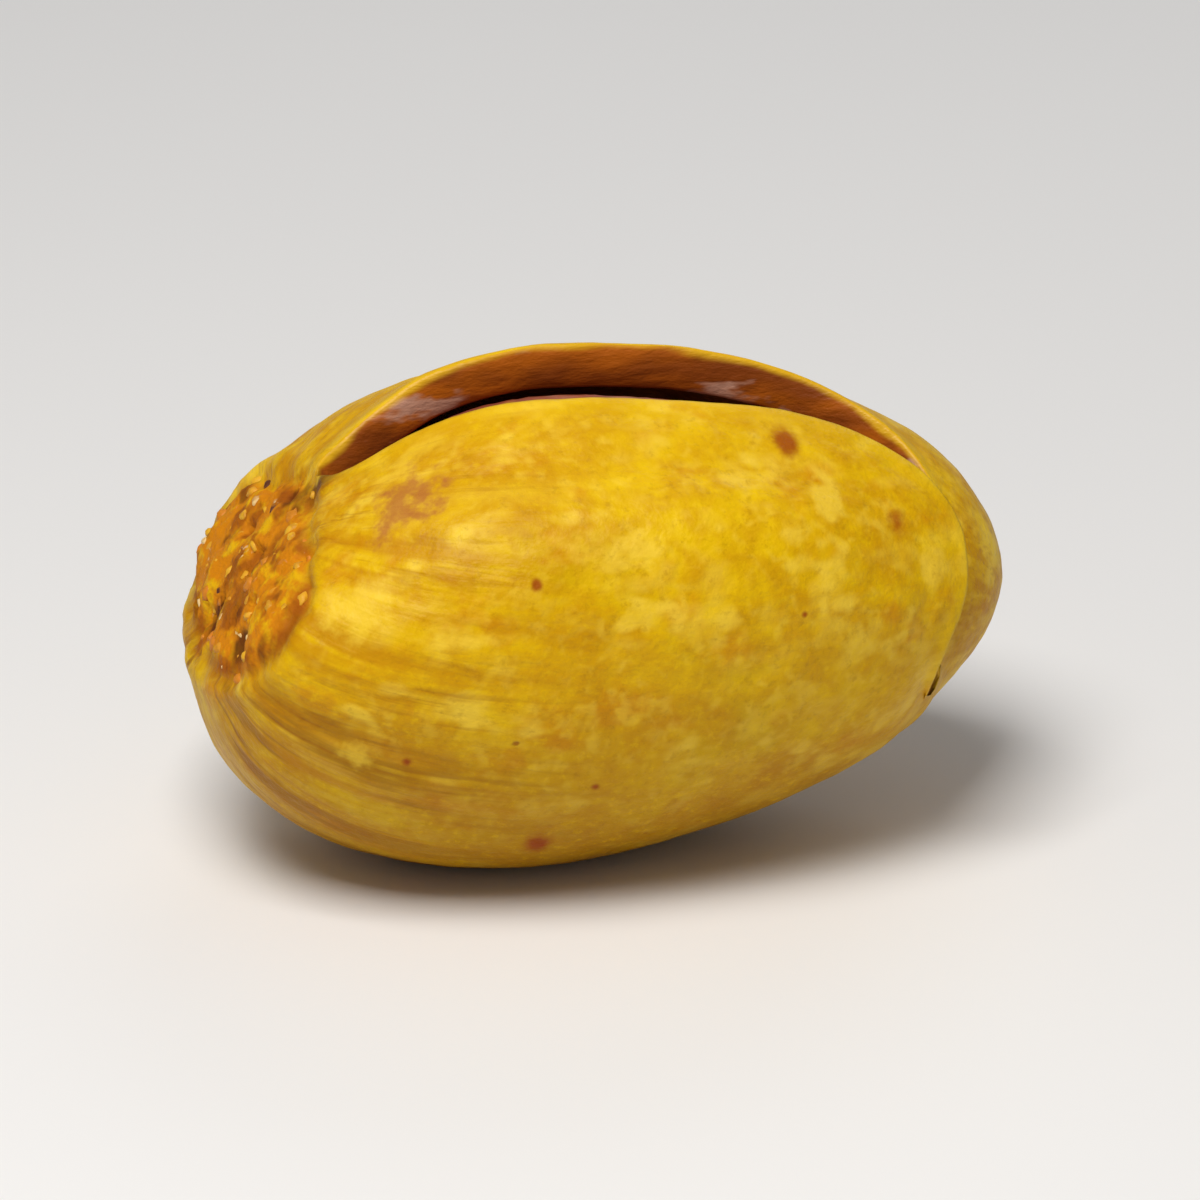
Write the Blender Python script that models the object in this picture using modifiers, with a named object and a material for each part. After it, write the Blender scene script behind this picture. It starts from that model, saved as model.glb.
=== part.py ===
"""A pistachio in its shell: one hard shell, grown as one piece and split along its seam, and the
kernel lying inside it.

The nut lies on its back. Its long axis runs along X, with the stem end at -X and the tip at +X.
The two lips of the split stand up at +Z, one on each side of the seam plane Y = 0. The nut rests
on a small flat, and the origin is below the middle of its box, on the surface it stands on.

Run it with: blender --background --python part.py
"""

import math

import bmesh
import bpy
from mathutils import Matrix, Vector

MM = 0.001

# The closed nut, inside its wall: how far the hollow reaches along X, to each side, and up and down.
HOLLOW_LENGTH = 18.3 * MM
HOLLOW_WIDTH = 9.9 * MM
HOLLOW_HEIGHT = 10.3 * MM
WALL = 0.95 * MM

# How the hollow departs from an ellipsoid.
STEM_FULLNESS = 0.21  # the share by which girth grows from the middle to the stem and shrinks to the tip
STEM_BLUNTNESS = 0.66  # powers of the sine: below 1 the end is blunt, above 1 it is drawn out
TIP_BLUNTNESS = 1.06
BACK_SAG = 0.7 * MM  # the middle hangs this far below the line from stem to tip
HEEL_SAG = 1.0  # and the stem half hangs lower by this share of it, the tip half less low
TIP_DROP = 0.15 * MM  # the tip bends down towards the back
SHOULDER_DROP = 7.2 * MM  # how steeply the belly falls away towards the stem
SHOULDER_POWER = 4.0  # the higher this is, the closer to the stem that fall begins
LEAN = 0.10  # the back leans towards the stem and the belly towards the tip, by this share of Z

# The scar where the stem was: a flat patch that cuts off the upper corner of the stem end.
SCAR_TILT = math.radians(30)  # how far the patch looks up from the -X direction
SCAR_DISTANCE = 7.1 * MM  # from the hollow's middle to the patch, inside the wall
SCAR_DOME = 0.15  # the share of the cut-off corner that stays, as a low dome
SCAR_EDGE = 0.3 * MM  # how softly the patch's edge is rounded

# The split. It starts above the scar, runs over the belly seam and the tip, and ends on the back.
SPLIT_START_X = -6.5 * MM  # on the belly
SPLIT_END_X = 6.9 * MM  # on the back
LIP_GAP = 4.3 * MM  # the lips stand this far apart where the split is widest
WIDEST_AT = 5.4 * MM  # measured at right angles from the line between the split's two ends
CHEEK_REACH = 7.0 * MM  # the cheeks have spread too, starting this far behind that line
TIP_CLOSING = 0.5  # the lips come together again towards the tip, by this share
LIP_WIDTH = 3.0 * MM  # the strip beside the seam that moves as the lips do, not as the cheeks do
CRACK_SOFTNESS = 0.8  # away from the seam the crack's sudden start is blurred by this share of the distance
TIP_OVERHANG = 0.9  # near the tip the split leaves the seam plane, so the -Y half is the shorter one

# The kernel: the hollow's own shape, smaller. Its belly narrows to stand up between the lips, and a
# furrow marks its two seed leaves.
KERNEL_LENGTH = 15.2 * MM
KERNEL_WIDTH = 9.1 * MM
KERNEL_HEIGHT = 9.7 * MM
KERNEL_SCAR_DISTANCE = 6.2 * MM
KERNEL_MIDDLE = (-0.3 * MM, 0.0, 0.4 * MM)
KERNEL_RIDGE = 0.36  # the share of its width that the belly has lost at the top
KERNEL_FURROW = 0.28 * MM

# How the nut lies.
TIP_DIP = math.radians(5.0)  # the long axis slopes down towards the tip by this
REST_FLAT_DEPTH = 0.30 * MM  # so much of the shell's back is worn away where it rests

SHELL_CUTS = 13  # cuts along each edge of the cube that becomes the shell
KERNEL_CUTS = 7


def clear_scene():
    for obj in list(bpy.data.objects):
        bpy.data.objects.remove(obj)


def new_collection(name):
    collection = bpy.data.collections.new(name)
    bpy.context.scene.collection.children.link(collection)
    return collection


def make_material(name, colour, roughness):
    material = bpy.data.materials.new(name)
    material.use_nodes = True
    surface = material.node_tree.nodes["Principled BSDF"]
    surface.inputs["Base Color"].default_value = (*colour, 1.0)
    surface.inputs["Roughness"].default_value = roughness
    surface.inputs["Metallic"].default_value = 0.0
    return material


def ball_of_squares(cuts):
    """A ball made from a cube, so that it has no poles. A ring of its edges lies in each main plane."""
    ball = bmesh.new()
    bmesh.ops.create_cube(ball, size=2.0)
    bmesh.ops.subdivide_edges(ball, edges=ball.edges[:], cuts=cuts, use_grid_fill=True)
    for vert in ball.verts:
        # Squares of equal angle are nearer to one size than the cube's own squares are.
        angles = Vector(math.tan(c * math.pi / 4) for c in vert.co)
        vert.co = angles.normalized()
    return ball


def nut_point(direction, length, width, height, scar_distance):
    """Where a direction from the ball's middle meets a nut-shaped body, long along X."""
    along = direction.x
    side = max(1e-9, math.hypot(direction.y, direction.z))
    bluntness = STEM_BLUNTNESS + (TIP_BLUNTNESS - STEM_BLUNTNESS) * (along + 1) / 2
    girth = side**bluntness * (1 - STEM_FULLNESS * along)
    y = direction.y / side * girth * width / 2
    z = direction.z / side * girth * height / 2
    sag = BACK_SAG * side**2 * (1 - HEEL_SAG * along) + TIP_DROP * max(0.0, along) ** 2
    sag += SHOULDER_DROP * max(0.0, -along) ** SHOULDER_POWER * max(0.0, direction.z)
    return flatten_scar(Vector((along * length / 2 + LEAN * z, y, z - sag)), scar_distance)


def flatten_scar(point, scar_distance):
    """Presses the corner of the stem end back to the scar's low dome."""
    outwards = Vector((-math.cos(SCAR_TILT), 0.0, math.sin(SCAR_TILT)))
    beyond = point.dot(outwards) - scar_distance
    pressed = (beyond + math.hypot(beyond, SCAR_EDGE)) / 2
    return point - outwards * pressed * (1 - SCAR_DOME)


def bend_seam(direction):
    """Turns directions near the tip towards -Y, which carries the seam with them."""
    tip_share = max(0.0, direction.x) ** 4
    return (direction - Vector((0.0, TIP_OVERHANG * tip_share, 0.0))).normalized()


class Split:
    """The line in the seam plane between the split's two ends, and how the shell opens beyond it."""

    def __init__(self, start, end):
        self.start = Vector((start.x, start.z))
        run = (Vector((end.x, end.z)) - self.start).normalized()
        self.towards_lips = Vector((-run.y, run.x))

    def past(self, point):
        """How far a point lies from the line, towards the belly and the tip."""
        return (Vector((point.x, point.z)) - self.start).dot(self.towards_lips)

    def spread(self, point, from_seam):
        """How far the split has carried a point of one half of the shell outwards along Y.

        The lips part as a crack does, quickly at first. The cheeks bulge smoothly, without a crease.
        """
        past = self.past(point)
        softened = (past + math.hypot(past, CRACK_SOFTNESS * from_seam)) / 2
        lip = math.sqrt(softened / WIDEST_AT)
        cheek = (max(0.0, past + CHEEK_REACH) / (WIDEST_AT + CHEEK_REACH)) ** 2
        near_lip = math.exp(-((from_seam / LIP_WIDTH) ** 2))
        closing = 1 - TIP_CLOSING * max(0.0, point.x / (HOLLOW_LENGTH / 2)) ** 2
        return LIP_GAP / 2 * closing * (near_lip * lip + (1 - near_lip) * cheek)


def make_hollow():
    """The inside of the shell as an open surface: a nut shape, ripped along its seam and spread."""
    tiny = 1e-7
    hollow = ball_of_squares(SHELL_CUTS)
    # The seam is the ball's ring of edges at Y = 0. Each point keeps its distance from it.
    side = hollow.verts.layers.float.new("side")
    belly, back = [], []
    for vert in hollow.verts:
        vert[side] = vert.co.y
        if abs(vert.co.y) < tiny:
            (belly if vert.co.z > 0 else back).append(vert)
        vert.co = nut_point(
            bend_seam(vert.co), HOLLOW_LENGTH, HOLLOW_WIDTH, HOLLOW_HEIGHT, SCAR_DISTANCE
        )
    split = Split(
        min(belly, key=lambda v: abs(v.co.x - SPLIT_START_X)).co,
        min(back, key=lambda v: abs(v.co.x - SPLIT_END_X)).co,
    )
    torn = [
        edge
        for edge in hollow.edges
        if all(abs(v[side]) < tiny and split.past(v.co) > -tiny for v in edge.verts)
    ]
    bmesh.ops.split_edges(hollow, edges=torn)
    for vert in hollow.verts:
        # The faces round a point on a lip all lie in one half. Elsewhere on the seam they balance.
        half = sum(v[side] for face in vert.link_faces for v in face.verts)
        if abs(half) > tiny:
            from_seam = abs(vert[side]) * HOLLOW_WIDTH / 2
            vert.co.y += math.copysign(split.spread(vert.co, from_seam), half)
    return hollow


def make_object(name, mesh_data, collection, material):
    mesh = bpy.data.meshes.new(name)
    bmesh.ops.recalc_face_normals(mesh_data, faces=mesh_data.faces[:])
    mesh_data.to_mesh(mesh)
    mesh_data.free()
    mesh.materials.append(material)
    mesh.shade_smooth()
    mesh.set_sharp_from_angle(angle=math.radians(40))
    obj = bpy.data.objects.new(name, mesh)
    collection.objects.link(obj)
    return obj


def make_shell(collection, material):
    """The shell, grown outwards from its hollow, so that the lips never cross at the split's ends."""
    hollow = make_hollow()
    shell = make_object("shell", hollow, collection, material)
    wall = shell.modifiers.new("wall", "SOLIDIFY")
    wall.thickness = WALL
    wall.offset = 1.0
    wall.use_even_offset = True
    return shell


def make_kernel(collection, material):
    body = ball_of_squares(KERNEL_CUTS)
    for vert in body.verts:
        in_seam = abs(vert.co.y) < 1e-7
        narrowed = 1 - KERNEL_RIDGE * max(0.0, vert.co.z) ** 2
        vert.co = nut_point(
            vert.co, KERNEL_LENGTH, KERNEL_WIDTH, KERNEL_HEIGHT, KERNEL_SCAR_DISTANCE
        )
        vert.co.y *= narrowed
        if in_seam:
            vert.co -= vert.co.normalized() * KERNEL_FURROW
    kernel = make_object("kernel", body, collection, material)
    kernel.location = KERNEL_MIDDLE
    return kernel


def world_box(obj):
    """The lowest and highest corners of an object as its modifiers leave it."""
    graph = bpy.context.evaluated_depsgraph_get()
    evaluated = obj.evaluated_get(graph)
    mesh = evaluated.to_mesh()
    points = [evaluated.matrix_world @ v.co for v in mesh.vertices]
    evaluated.to_mesh_clear()
    low = Vector(min(p[k] for p in points) for k in range(3))
    high = Vector(max(p[k] for p in points) for k in range(3))
    return low, high


def lay_down(nut, shell):
    """Lifts the nut until only its rest flat would be below the surface, with the origin under its box."""
    nut.rotation_euler = (0.0, TIP_DIP, 0.0)
    bpy.context.view_layer.update()
    low, high = world_box(shell)
    middle = (low + high) / 2
    nut.location = (-middle.x, -middle.y, -low.z - REST_FLAT_DEPTH)
    bpy.context.view_layer.update()


def cut_rest_flat(shell, collection):
    """A shallow flat at Z = 0, where the back of the shell meets the surface."""
    block = bmesh.new()
    side = 2 * HOLLOW_LENGTH
    bmesh.ops.create_cube(block, size=side)
    bmesh.ops.translate(block, verts=block.verts[:], vec=(0.0, 0.0, -side / 2))
    mesh = bpy.data.meshes.new("rest_flat_cutter")
    block.to_mesh(mesh)
    block.free()
    cutter = bpy.data.objects.new("rest_flat_cutter", mesh)
    collection.objects.link(cutter)
    cutter.hide_render = True
    cutter.display_type = "WIRE"
    flat = shell.modifiers.new("rest_flat", "BOOLEAN")
    flat.operation = "DIFFERENCE"
    flat.object = cutter


def main():
    clear_scene()
    nut_collection = new_collection("pistachio")
    cutters = new_collection("cutters")
    shell_material = make_material("shell", (0.72, 0.44, 0.02), 0.45)
    skin_material = make_material("kernel_skin", (0.27, 0.09, 0.05), 0.5)

    nut = bpy.data.objects.new("nut", None)
    nut_collection.objects.link(nut)
    shell = make_shell(nut_collection, shell_material)
    kernel = make_kernel(nut_collection, skin_material)
    for piece in (shell, kernel):
        piece.parent = nut
        piece.matrix_parent_inverse = Matrix.Identity(4)
    lay_down(nut, shell)
    cut_rest_flat(shell, cutters)


main()
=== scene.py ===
# %% [markdown]
# # A pistachio in its shell
#
# A roasted pistachio is a hard shell, split along one seam, with a wrinkled kernel lying in it. This
# lesson models one as it lies on a table: the split looks up, the scar where the stem was points left,
# and the tip points right.
#
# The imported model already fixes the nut's size and place. It is loaded first, and everything below is
# worked out from its box. The visual model has to stay inside that box, so the box is kept.

# %% The frame
import math

import bmesh
import bpy
from mathutils import Matrix, Vector


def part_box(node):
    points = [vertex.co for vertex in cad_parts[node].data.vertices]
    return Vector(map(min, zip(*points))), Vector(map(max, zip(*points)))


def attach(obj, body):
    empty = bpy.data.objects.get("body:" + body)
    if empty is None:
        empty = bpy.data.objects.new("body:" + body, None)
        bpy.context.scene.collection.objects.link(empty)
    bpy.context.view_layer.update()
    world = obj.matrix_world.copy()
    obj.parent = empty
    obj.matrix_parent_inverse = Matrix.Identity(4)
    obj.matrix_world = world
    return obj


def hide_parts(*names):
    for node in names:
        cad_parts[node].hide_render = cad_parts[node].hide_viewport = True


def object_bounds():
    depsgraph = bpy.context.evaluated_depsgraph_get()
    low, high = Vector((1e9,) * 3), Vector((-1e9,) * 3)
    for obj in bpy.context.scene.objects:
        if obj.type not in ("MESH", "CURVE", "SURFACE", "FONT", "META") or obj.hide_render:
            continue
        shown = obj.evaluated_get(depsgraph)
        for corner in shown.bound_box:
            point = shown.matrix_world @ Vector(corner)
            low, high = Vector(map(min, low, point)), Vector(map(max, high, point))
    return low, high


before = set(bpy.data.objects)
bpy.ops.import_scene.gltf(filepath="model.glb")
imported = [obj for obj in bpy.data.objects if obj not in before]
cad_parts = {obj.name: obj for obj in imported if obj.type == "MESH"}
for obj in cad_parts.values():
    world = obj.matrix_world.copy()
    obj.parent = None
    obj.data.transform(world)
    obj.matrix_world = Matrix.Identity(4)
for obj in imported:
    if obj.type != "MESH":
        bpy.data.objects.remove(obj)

cad_low, cad_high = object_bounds()
shell_low, shell_high = (Vector(corner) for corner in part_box("shell"))
length = shell_high.x - shell_low.x
MM = 0.001
print("the nut is", [round(side / MM, 2) for side in cad_high - cad_low], "mm")

# %% [markdown]
# ## A small algebra for node trees
#
# Most of this nut follows rules: how full it is at the stem, how the split opens, how grooves run round
# it. A rule could be written as vertex moves in Python, but Geometry Nodes keep it adjustable, and the
# same kind of nodes then colour the surface. Adding every Math node by hand hides the rule, so a tiny
# class lets plain formulas build the nodes: each sign between two values adds one node to the tree.

# %% Formulas that build nodes
def plug(tree, value, socket):
    """Puts a number, a vector, another node's output or a Number into a socket."""
    if isinstance(value, Number):
        value = value.socket
    if isinstance(value, bpy.types.NodeSocket):
        tree.links.new(value, socket)
    else:
        socket.default_value = value


def add(tree, kind, sockets=(), **settings):
    """Adds a node, sets its properties, and fills the input sockets that are named."""
    node = tree.nodes.new(kind)
    for name, value in settings.items():
        setattr(node, name, value)
    for name, value in dict(sockets).items():
        plug(tree, value, next(s for s in node.inputs if s.name == name and s.enabled))
    return node


class Number:
    """A number that a tree works out afresh at each point of a surface."""

    def __init__(self, tree, socket):
        self.tree = tree
        self.socket = socket

    def maths(self, operation, *others):
        node = add(self.tree, "ShaderNodeMath", operation=operation)
        for socket, value in zip(node.inputs, (self, *others)):
            plug(self.tree, value, socket)
        return Number(self.tree, node.outputs[0])

    def __add__(self, other):
        return self.maths("ADD", other)

    def __sub__(self, other):
        return self.maths("SUBTRACT", other)

    def __rsub__(self, other):
        return self * -1 + other

    def __mul__(self, other):
        return self.maths("MULTIPLY", other)

    def __truediv__(self, other):
        return self.maths("DIVIDE", other)

    def __pow__(self, other):
        return self.maths("POWER", other)

    __radd__ = __add__
    __rmul__ = __mul__

    def at_least(self, other):
        return self.maths("MAXIMUM", other)

    def at_most(self, other):
        return self.maths("MINIMUM", other)

    def above(self, other):
        return self.maths("GREATER_THAN", other)

    def size(self):
        return self.maths("ABSOLUTE")

    def sign(self):
        return self.maths("SIGN")

    def root(self):
        return self.at_least(0.0).maths("SQRT")

    def hill(self, width):
        """1 where this number is 0, falling to nothing over the given width on both sides."""
        return ((self / width) ** 2 * -1).maths("EXPONENT")

    def step(self, start, end):
        """A soft step: 0 before start, 1 after end. It falls where end is below start."""
        ends = {"From Min": min(start, end), "From Max": max(start, end)}
        values = {"Value": self, **ends}
        node = add(self.tree, "ShaderNodeMapRange", values, interpolation_type="SMOOTHSTEP")
        soft = Number(self.tree, node.outputs[0])
        return soft if start < end else 1 - soft


print("formulas can now build nodes")

# %% [markdown]
# Vectors need a few helpers of the same kind: taking one apart, putting one together, and reading a
# noise texture or a value that is stored on the mesh.

# %% Vectors, noise and stored values
def parts(tree, vector):
    node = add(tree, "ShaderNodeSeparateXYZ", {"Vector": vector})
    return [Number(tree, socket) for socket in node.outputs]


def together(tree, x, y, z):
    return add(tree, "ShaderNodeCombineXYZ", {"X": x, "Y": y, "Z": z}).outputs[0]


def vectors(tree, operation, *values, scale=None):
    node = add(tree, "ShaderNodeVectorMath", operation=operation)
    for socket, value in zip(node.inputs, values):
        plug(tree, value, socket)
    if scale is not None:
        plug(tree, scale, node.inputs["Scale"])
    if operation in ("DOT_PRODUCT", "LENGTH"):
        return Number(tree, node.outputs["Value"])
    return node.outputs["Vector"]


def noise(tree, place, scale, detail=2.0, roughness=0.5, distortion=0.0):
    """A cloudy pattern about 0.5, with lumps of roughly one part in scale."""
    values = {"Vector": place, "Scale": scale, "Detail": detail, "Roughness": roughness}
    node = add(tree, "ShaderNodeTexNoise", {**values, "Distortion": distortion})
    return Number(tree, node.outputs[0])


def new_tree(name, kind, inputs, outputs):
    """A node tree with named inputs and outputs, and the nodes that read and write them."""
    tree = bpy.data.node_groups.new(name, kind)
    for direction, sockets in (("INPUT", inputs), ("OUTPUT", outputs)):
        for label, (word, start) in sockets.items():
            socket = tree.interface.new_socket(label, in_out=direction, socket_type="NodeSocket" + word)
            if start is not None:
                socket.default_value = start
    given = tree.nodes.new("NodeGroupInput").outputs
    return tree, given, tree.nodes.new("NodeGroupOutput").inputs


print("vectors and noise are ready too")

# %% [markdown]
# ## The nut's outline
#
# Shell and kernel share one outline. It starts as a ball, drawn out along X. The stem end is blunt and
# full, the tip end slimmer. The back sags towards the heel, the belly drops to the stem, and the stem
# scar cuts off the corner between them. A sculpt could do this once, but as a node group the same rule
# makes the hollow of the shell at one size and the kernel at another. All its sizes are shares of the
# nut's length.

# %% The outline as a node group
share = length / (20.3 * MM)  # the sizes below suit a nut 20.3 mm long
OUTLINE = {
    "stem fullness": 0.21,
    "stem bluntness": 0.66,
    "tip bluntness": 1.06,
    "back sag": 0.7 * MM * share,
    "heel sag": 1.0,
    "tip drop": 0.15 * MM * share,
    "shoulder drop": 7.2 * MM * share,
    "shoulder power": 4.0,
    "lean": 0.10,
}
SCAR_TILT = math.radians(30)
SCAR_DOME = 0.15
SCAR_EDGE = 0.3 * MM * share
SCAR_FACING = Vector((-math.cos(SCAR_TILT), 0.0, math.sin(SCAR_TILT)))
NUT_SIZES = {name: ("Float", 0.01) for name in ("Length", "Width", "Height", "Scar Distance")}


def outline_group():
    tree, given, result = new_tree(
        "nut outline",
        "GeometryNodeTree",
        {"Direction": ("Vector", None), **NUT_SIZES},
        {"Position": ("Vector", None), "Beyond Scar": ("Float", None)},
    )
    along, y, z = parts(tree, given["Direction"])
    girth = (y**2 + z**2).root().at_least(1e-6)
    blunt = (along + 1) * ((OUTLINE["tip bluntness"] - OUTLINE["stem bluntness"]) / 2)
    swell = girth ** (blunt + OUTLINE["stem bluntness"]) * (1 - along * OUTLINE["stem fullness"])
    across = y / girth * swell * given["Width"] / 2
    up = z / girth * swell * given["Height"] / 2
    sag = girth**2 * (1 - along * OUTLINE["heel sag"]) * OUTLINE["back sag"]
    sag = sag + along.at_least(0.0) ** 2 * OUTLINE["tip drop"]
    shoulder = (along * -1).at_least(0.0) ** OUTLINE["shoulder power"] * z.at_least(0.0)
    sag = sag + shoulder * OUTLINE["shoulder drop"]
    point = together(tree, along * given["Length"] / 2 + up * OUTLINE["lean"], across, up - sag)
    facing = vectors(tree, "DOT_PRODUCT", point, SCAR_FACING)
    beyond = facing - given["Scar Distance"]
    pressed = (beyond + (beyond**2 + SCAR_EDGE**2).root()) / 2 * (SCAR_DOME - 1)
    flattened = vectors(tree, "ADD", point, vectors(tree, "SCALE", SCAR_FACING, scale=pressed))
    plug(tree, flattened, result["Position"])
    plug(tree, beyond, result["Beyond Scar"])
    return tree


def outlined(tree, direction, given):
    """The outline's place and its distance beyond the scar, for a tree that is given the nut's sizes."""
    outline = add(tree, "GeometryNodeGroup", {"Direction": direction}, node_tree=nut_outline)
    for name in NUT_SIZES:
        plug(tree, given[name], outline.inputs[name])
    return outline.outputs["Position"], outline.outputs["Beyond Scar"]


def nut_sizes(length, width, height, scar_distance):
    """The same sizes as values for a tree, worked out from millimetres."""
    return {name: size * MM * share for name, size in zip(NUT_SIZES, (length, width, height, scar_distance))}


nut_outline = outline_group()
print("the outline group holds", len(nut_outline.nodes), "nodes")

# %% [markdown]
# A ball of latitude rings has two poles, where the faces shrink to slivers and every pattern pinches.
# A cube whose faces are cut into squares and blown up has none, and one ring of its edges lies exactly
# in the plane of the seam, where the shell has to tear.

# %% A ball of squares
def named(tree, name, word="FLOAT"):
    node = add(tree, "GeometryNodeInputNamedAttribute", {"Name": name}, data_type=word)
    return node.outputs["Attribute"]


def store(tree, mesh, name, value, word="FLOAT", domain="POINT", where=True):
    sockets = {"Geometry": mesh, "Selection": where, "Name": name, "Value": value}
    return add(tree, "GeometryNodeStoreNamedAttribute", sockets, data_type=word, domain=domain).outputs[0]


def point_places(tree):
    return add(tree, "GeometryNodeInputPosition").outputs[0]


def move_points(tree, mesh, where=True, **way):
    """Puts the points of a mesh at a Position, or moves them by an Offset."""
    return add(tree, "GeometryNodeSetPosition", {"Geometry": mesh, "Selection": where, **way}).outputs[0]


def ball_of_squares(tree, points):
    """A ball about the origin, with each point's direction stored on it."""
    sides = {"Size": (2.0, 2.0, 2.0), "Vertices X": points, "Vertices Y": points, "Vertices Z": points}
    cube = add(tree, "GeometryNodeMeshCube", sides).outputs["Mesh"]
    place = parts(tree, point_places(tree))
    even = together(tree, *((side * (math.pi / 4)).maths("TANGENT") for side in place))
    return store(tree, cube, "direction", vectors(tree, "NORMALIZE", even), "FLOAT_VECTOR")


SCAFFOLD = ("direction", "inner", "outwards", "half", "past", "wall", "coat")  # values only the trees read


def grow(name, tree, values):
    """Runs a tree on an object and keeps the result as its plain mesh."""
    piece = bpy.data.objects.new(name, bpy.data.meshes.new(name))
    bpy.context.scene.collection.objects.link(piece)
    modifier = piece.modifiers.new("grow", "NODES")
    modifier.node_group = tree
    for socket in tree.interface.items_tree:
        if socket.in_out == "INPUT" and socket.name in values:
            modifier[socket.identifier] = values[socket.name]
    graph = bpy.context.evaluated_depsgraph_get()
    mesh = bpy.data.meshes.new_from_object(piece.evaluated_get(graph), depsgraph=graph)
    piece.modifiers.remove(modifier)
    piece.data = mesh
    mesh.name = name
    if mesh.materials[0] is None:  # the cube or grain that the tree started from had an empty slot
        numbers = [face.material_index - 1 for face in mesh.polygons]
        mesh.materials.pop(index=0)
        mesh.polygons.foreach_set("material_index", numbers)
    for label in SCAFFOLD:
        if label in mesh.attributes:
            mesh.attributes.remove(mesh.attributes[label])
    print(name, "has", len(mesh.vertices), "points and", len(mesh.polygons), "faces")
    return piece


# %% [markdown]
# ## How the split opens
#
# The shell's two halves are still joined below a line from just above the scar to the underside of the
# tip. Beyond that line the lips have parted as a crack parts: quickly at first, then evenly. The cheeks
# further from the seam have bulged smoothly. Towards the tip the lips come together again, and the tear
# leaves the middle plane, so the near half is a little shorter and the far half keeps the tip.

# %% The split's own rule
SPLIT_START = Vector((-6.67, 2.10)) * MM * share
SPLIT_END = Vector((6.91, -1.31)) * MM * share
LIP_GAP = 4.3 * MM * share
WIDEST_AT = 5.4 * MM * share
CHEEK_REACH = 7.0 * MM * share
LIP_WIDTH = 3.0 * MM * share
CRACK_SOFTNESS = 0.8
TIP_CLOSING = 0.5
CLOSED_BY = 9.15 * MM * share  # how far out along X the tip's closing is complete
TIP_OVERHANG = 0.9

run = (SPLIT_END - SPLIT_START).normalized()
TOWARDS_LIPS = Vector((-run.y, run.x))


def past_split_line(tree, place):
    """How far a point lies from the line between the split's ends, towards belly and tip."""
    x, _, z = parts(tree, place)
    return (x - SPLIT_START.x) * TOWARDS_LIPS.x + (z - SPLIT_START.y) * TOWARDS_LIPS.y


def spread(tree, place, past, from_seam):
    """How far the split has carried a point outwards."""
    softened = (past + (past**2 + (from_seam * CRACK_SOFTNESS) ** 2).root()) / 2
    lip = (softened / WIDEST_AT).root()
    cheek = ((past + CHEEK_REACH).at_least(0.0) / (WIDEST_AT + CHEEK_REACH)) ** 2
    near_lip = from_seam.hill(LIP_WIDTH)
    closing = 1 - (parts(tree, place)[0].at_least(0.0) / CLOSED_BY) ** 2 * TIP_CLOSING
    return (near_lip * lip + (1 - near_lip) * cheek) * closing * (LIP_GAP / 2)


def bend_seam(tree, direction):
    """Turns directions near the tip aside, and the seam with them."""
    x, y, z = parts(tree, direction)
    aside = x.at_least(0.0) ** 4 * TIP_OVERHANG
    return vectors(tree, "NORMALIZE", together(tree, x, y - aside, z))


print("the lips stand up to", round(LIP_GAP / MM, 1), "mm apart")

# %% [markdown]
# ## Lines that run from scar to tip
#
# A pistachio's fibres leave the stem scar in all directions and meet again at the tip, like lines of
# longitude. Grooves and stains follow them. Each point therefore gets a place on a tube round that axis:
# two numbers for the way round, and one for the way along. Noise read there and squeezed along the axis
# comes out as long fibres, with no seam where the circle closes.

# %% The way round and the way along
SCAR_MIDDLE = Vector((-8.3, 0.0, 0.45)) * MM * share
TIP = Vector((9.1, 0.0, -0.3)) * MM * share
AXIS = (TIP - SCAR_MIDDLE).normalized()
ASIDE = Vector((0.0, 1.0, 0.0))
ABOVE = AXIS.cross(ASIDE)
POLE_BLUR = 1.5 * MM * share  # the fibres fade this close to the axis, instead of meeting in a star


def round_and_along(tree, place):
    from_scar = vectors(tree, "SUBTRACT", place, SCAR_MIDDLE)
    aside, above, along = (vectors(tree, "DOT_PRODUCT", from_scar, way) for way in (ASIDE, ABOVE, AXIS))
    out = (aside**2 + above**2 + POLE_BLUR**2).root()
    return together(tree, aside / out, above / out, along / (TIP - SCAR_MIDDLE).length)


def fibres(tree, tube, count, stretch, detail=2.0):
    """Noise drawn out along the nut, with about the given number of fibres round it."""
    x, y, along = parts(tree, tube)
    reach = count / (2 * math.pi)
    return noise(tree, together(tree, x * reach, y * reach, along * stretch), 1.0, detail)


print("the axis from scar to tip drops by", round(math.degrees(math.asin(-AXIS.z)), 1), "degrees")

# %% [markdown]
# ## The shell's relief
#
# The outside isn't smooth. It has shallow swellings, fibres that show as fine grooves beside the scar, a
# raised collar and a moat round the scar, and a crumbly crust within it. A bump map would leave the
# outline clean, so all of it changes the wall's thickness, and the shading nodes only add finer grain.

# %% Wall thickness
WALL = 0.93 * MM * share
SWELLING = 0.20 * MM * share
DIMPLE = 0.055 * MM * share
GROOVE = 0.26 * MM * share
COLLAR = 0.10 * MM * share
MOAT = 0.16 * MM * share
CRUST = 0.52 * MM * share
SCAR_PITS = (  # middle in mm and radius in mm
    ((-8.95, 0.20, -1.30), 0.50),
    ((-8.75, -2.05, -1.00), 0.45),
    ((-7.20, 0.70, 1.55), 0.26),
)
KEEL = 0.06 * MM * share
LIP_KEEL = 0.12 * MM * share
LIP_SLOPE = 0.34 * MM * share
KNOT = 0.30 * MM * share
KNOT_SIZE = 0.8 * MM * share


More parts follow.
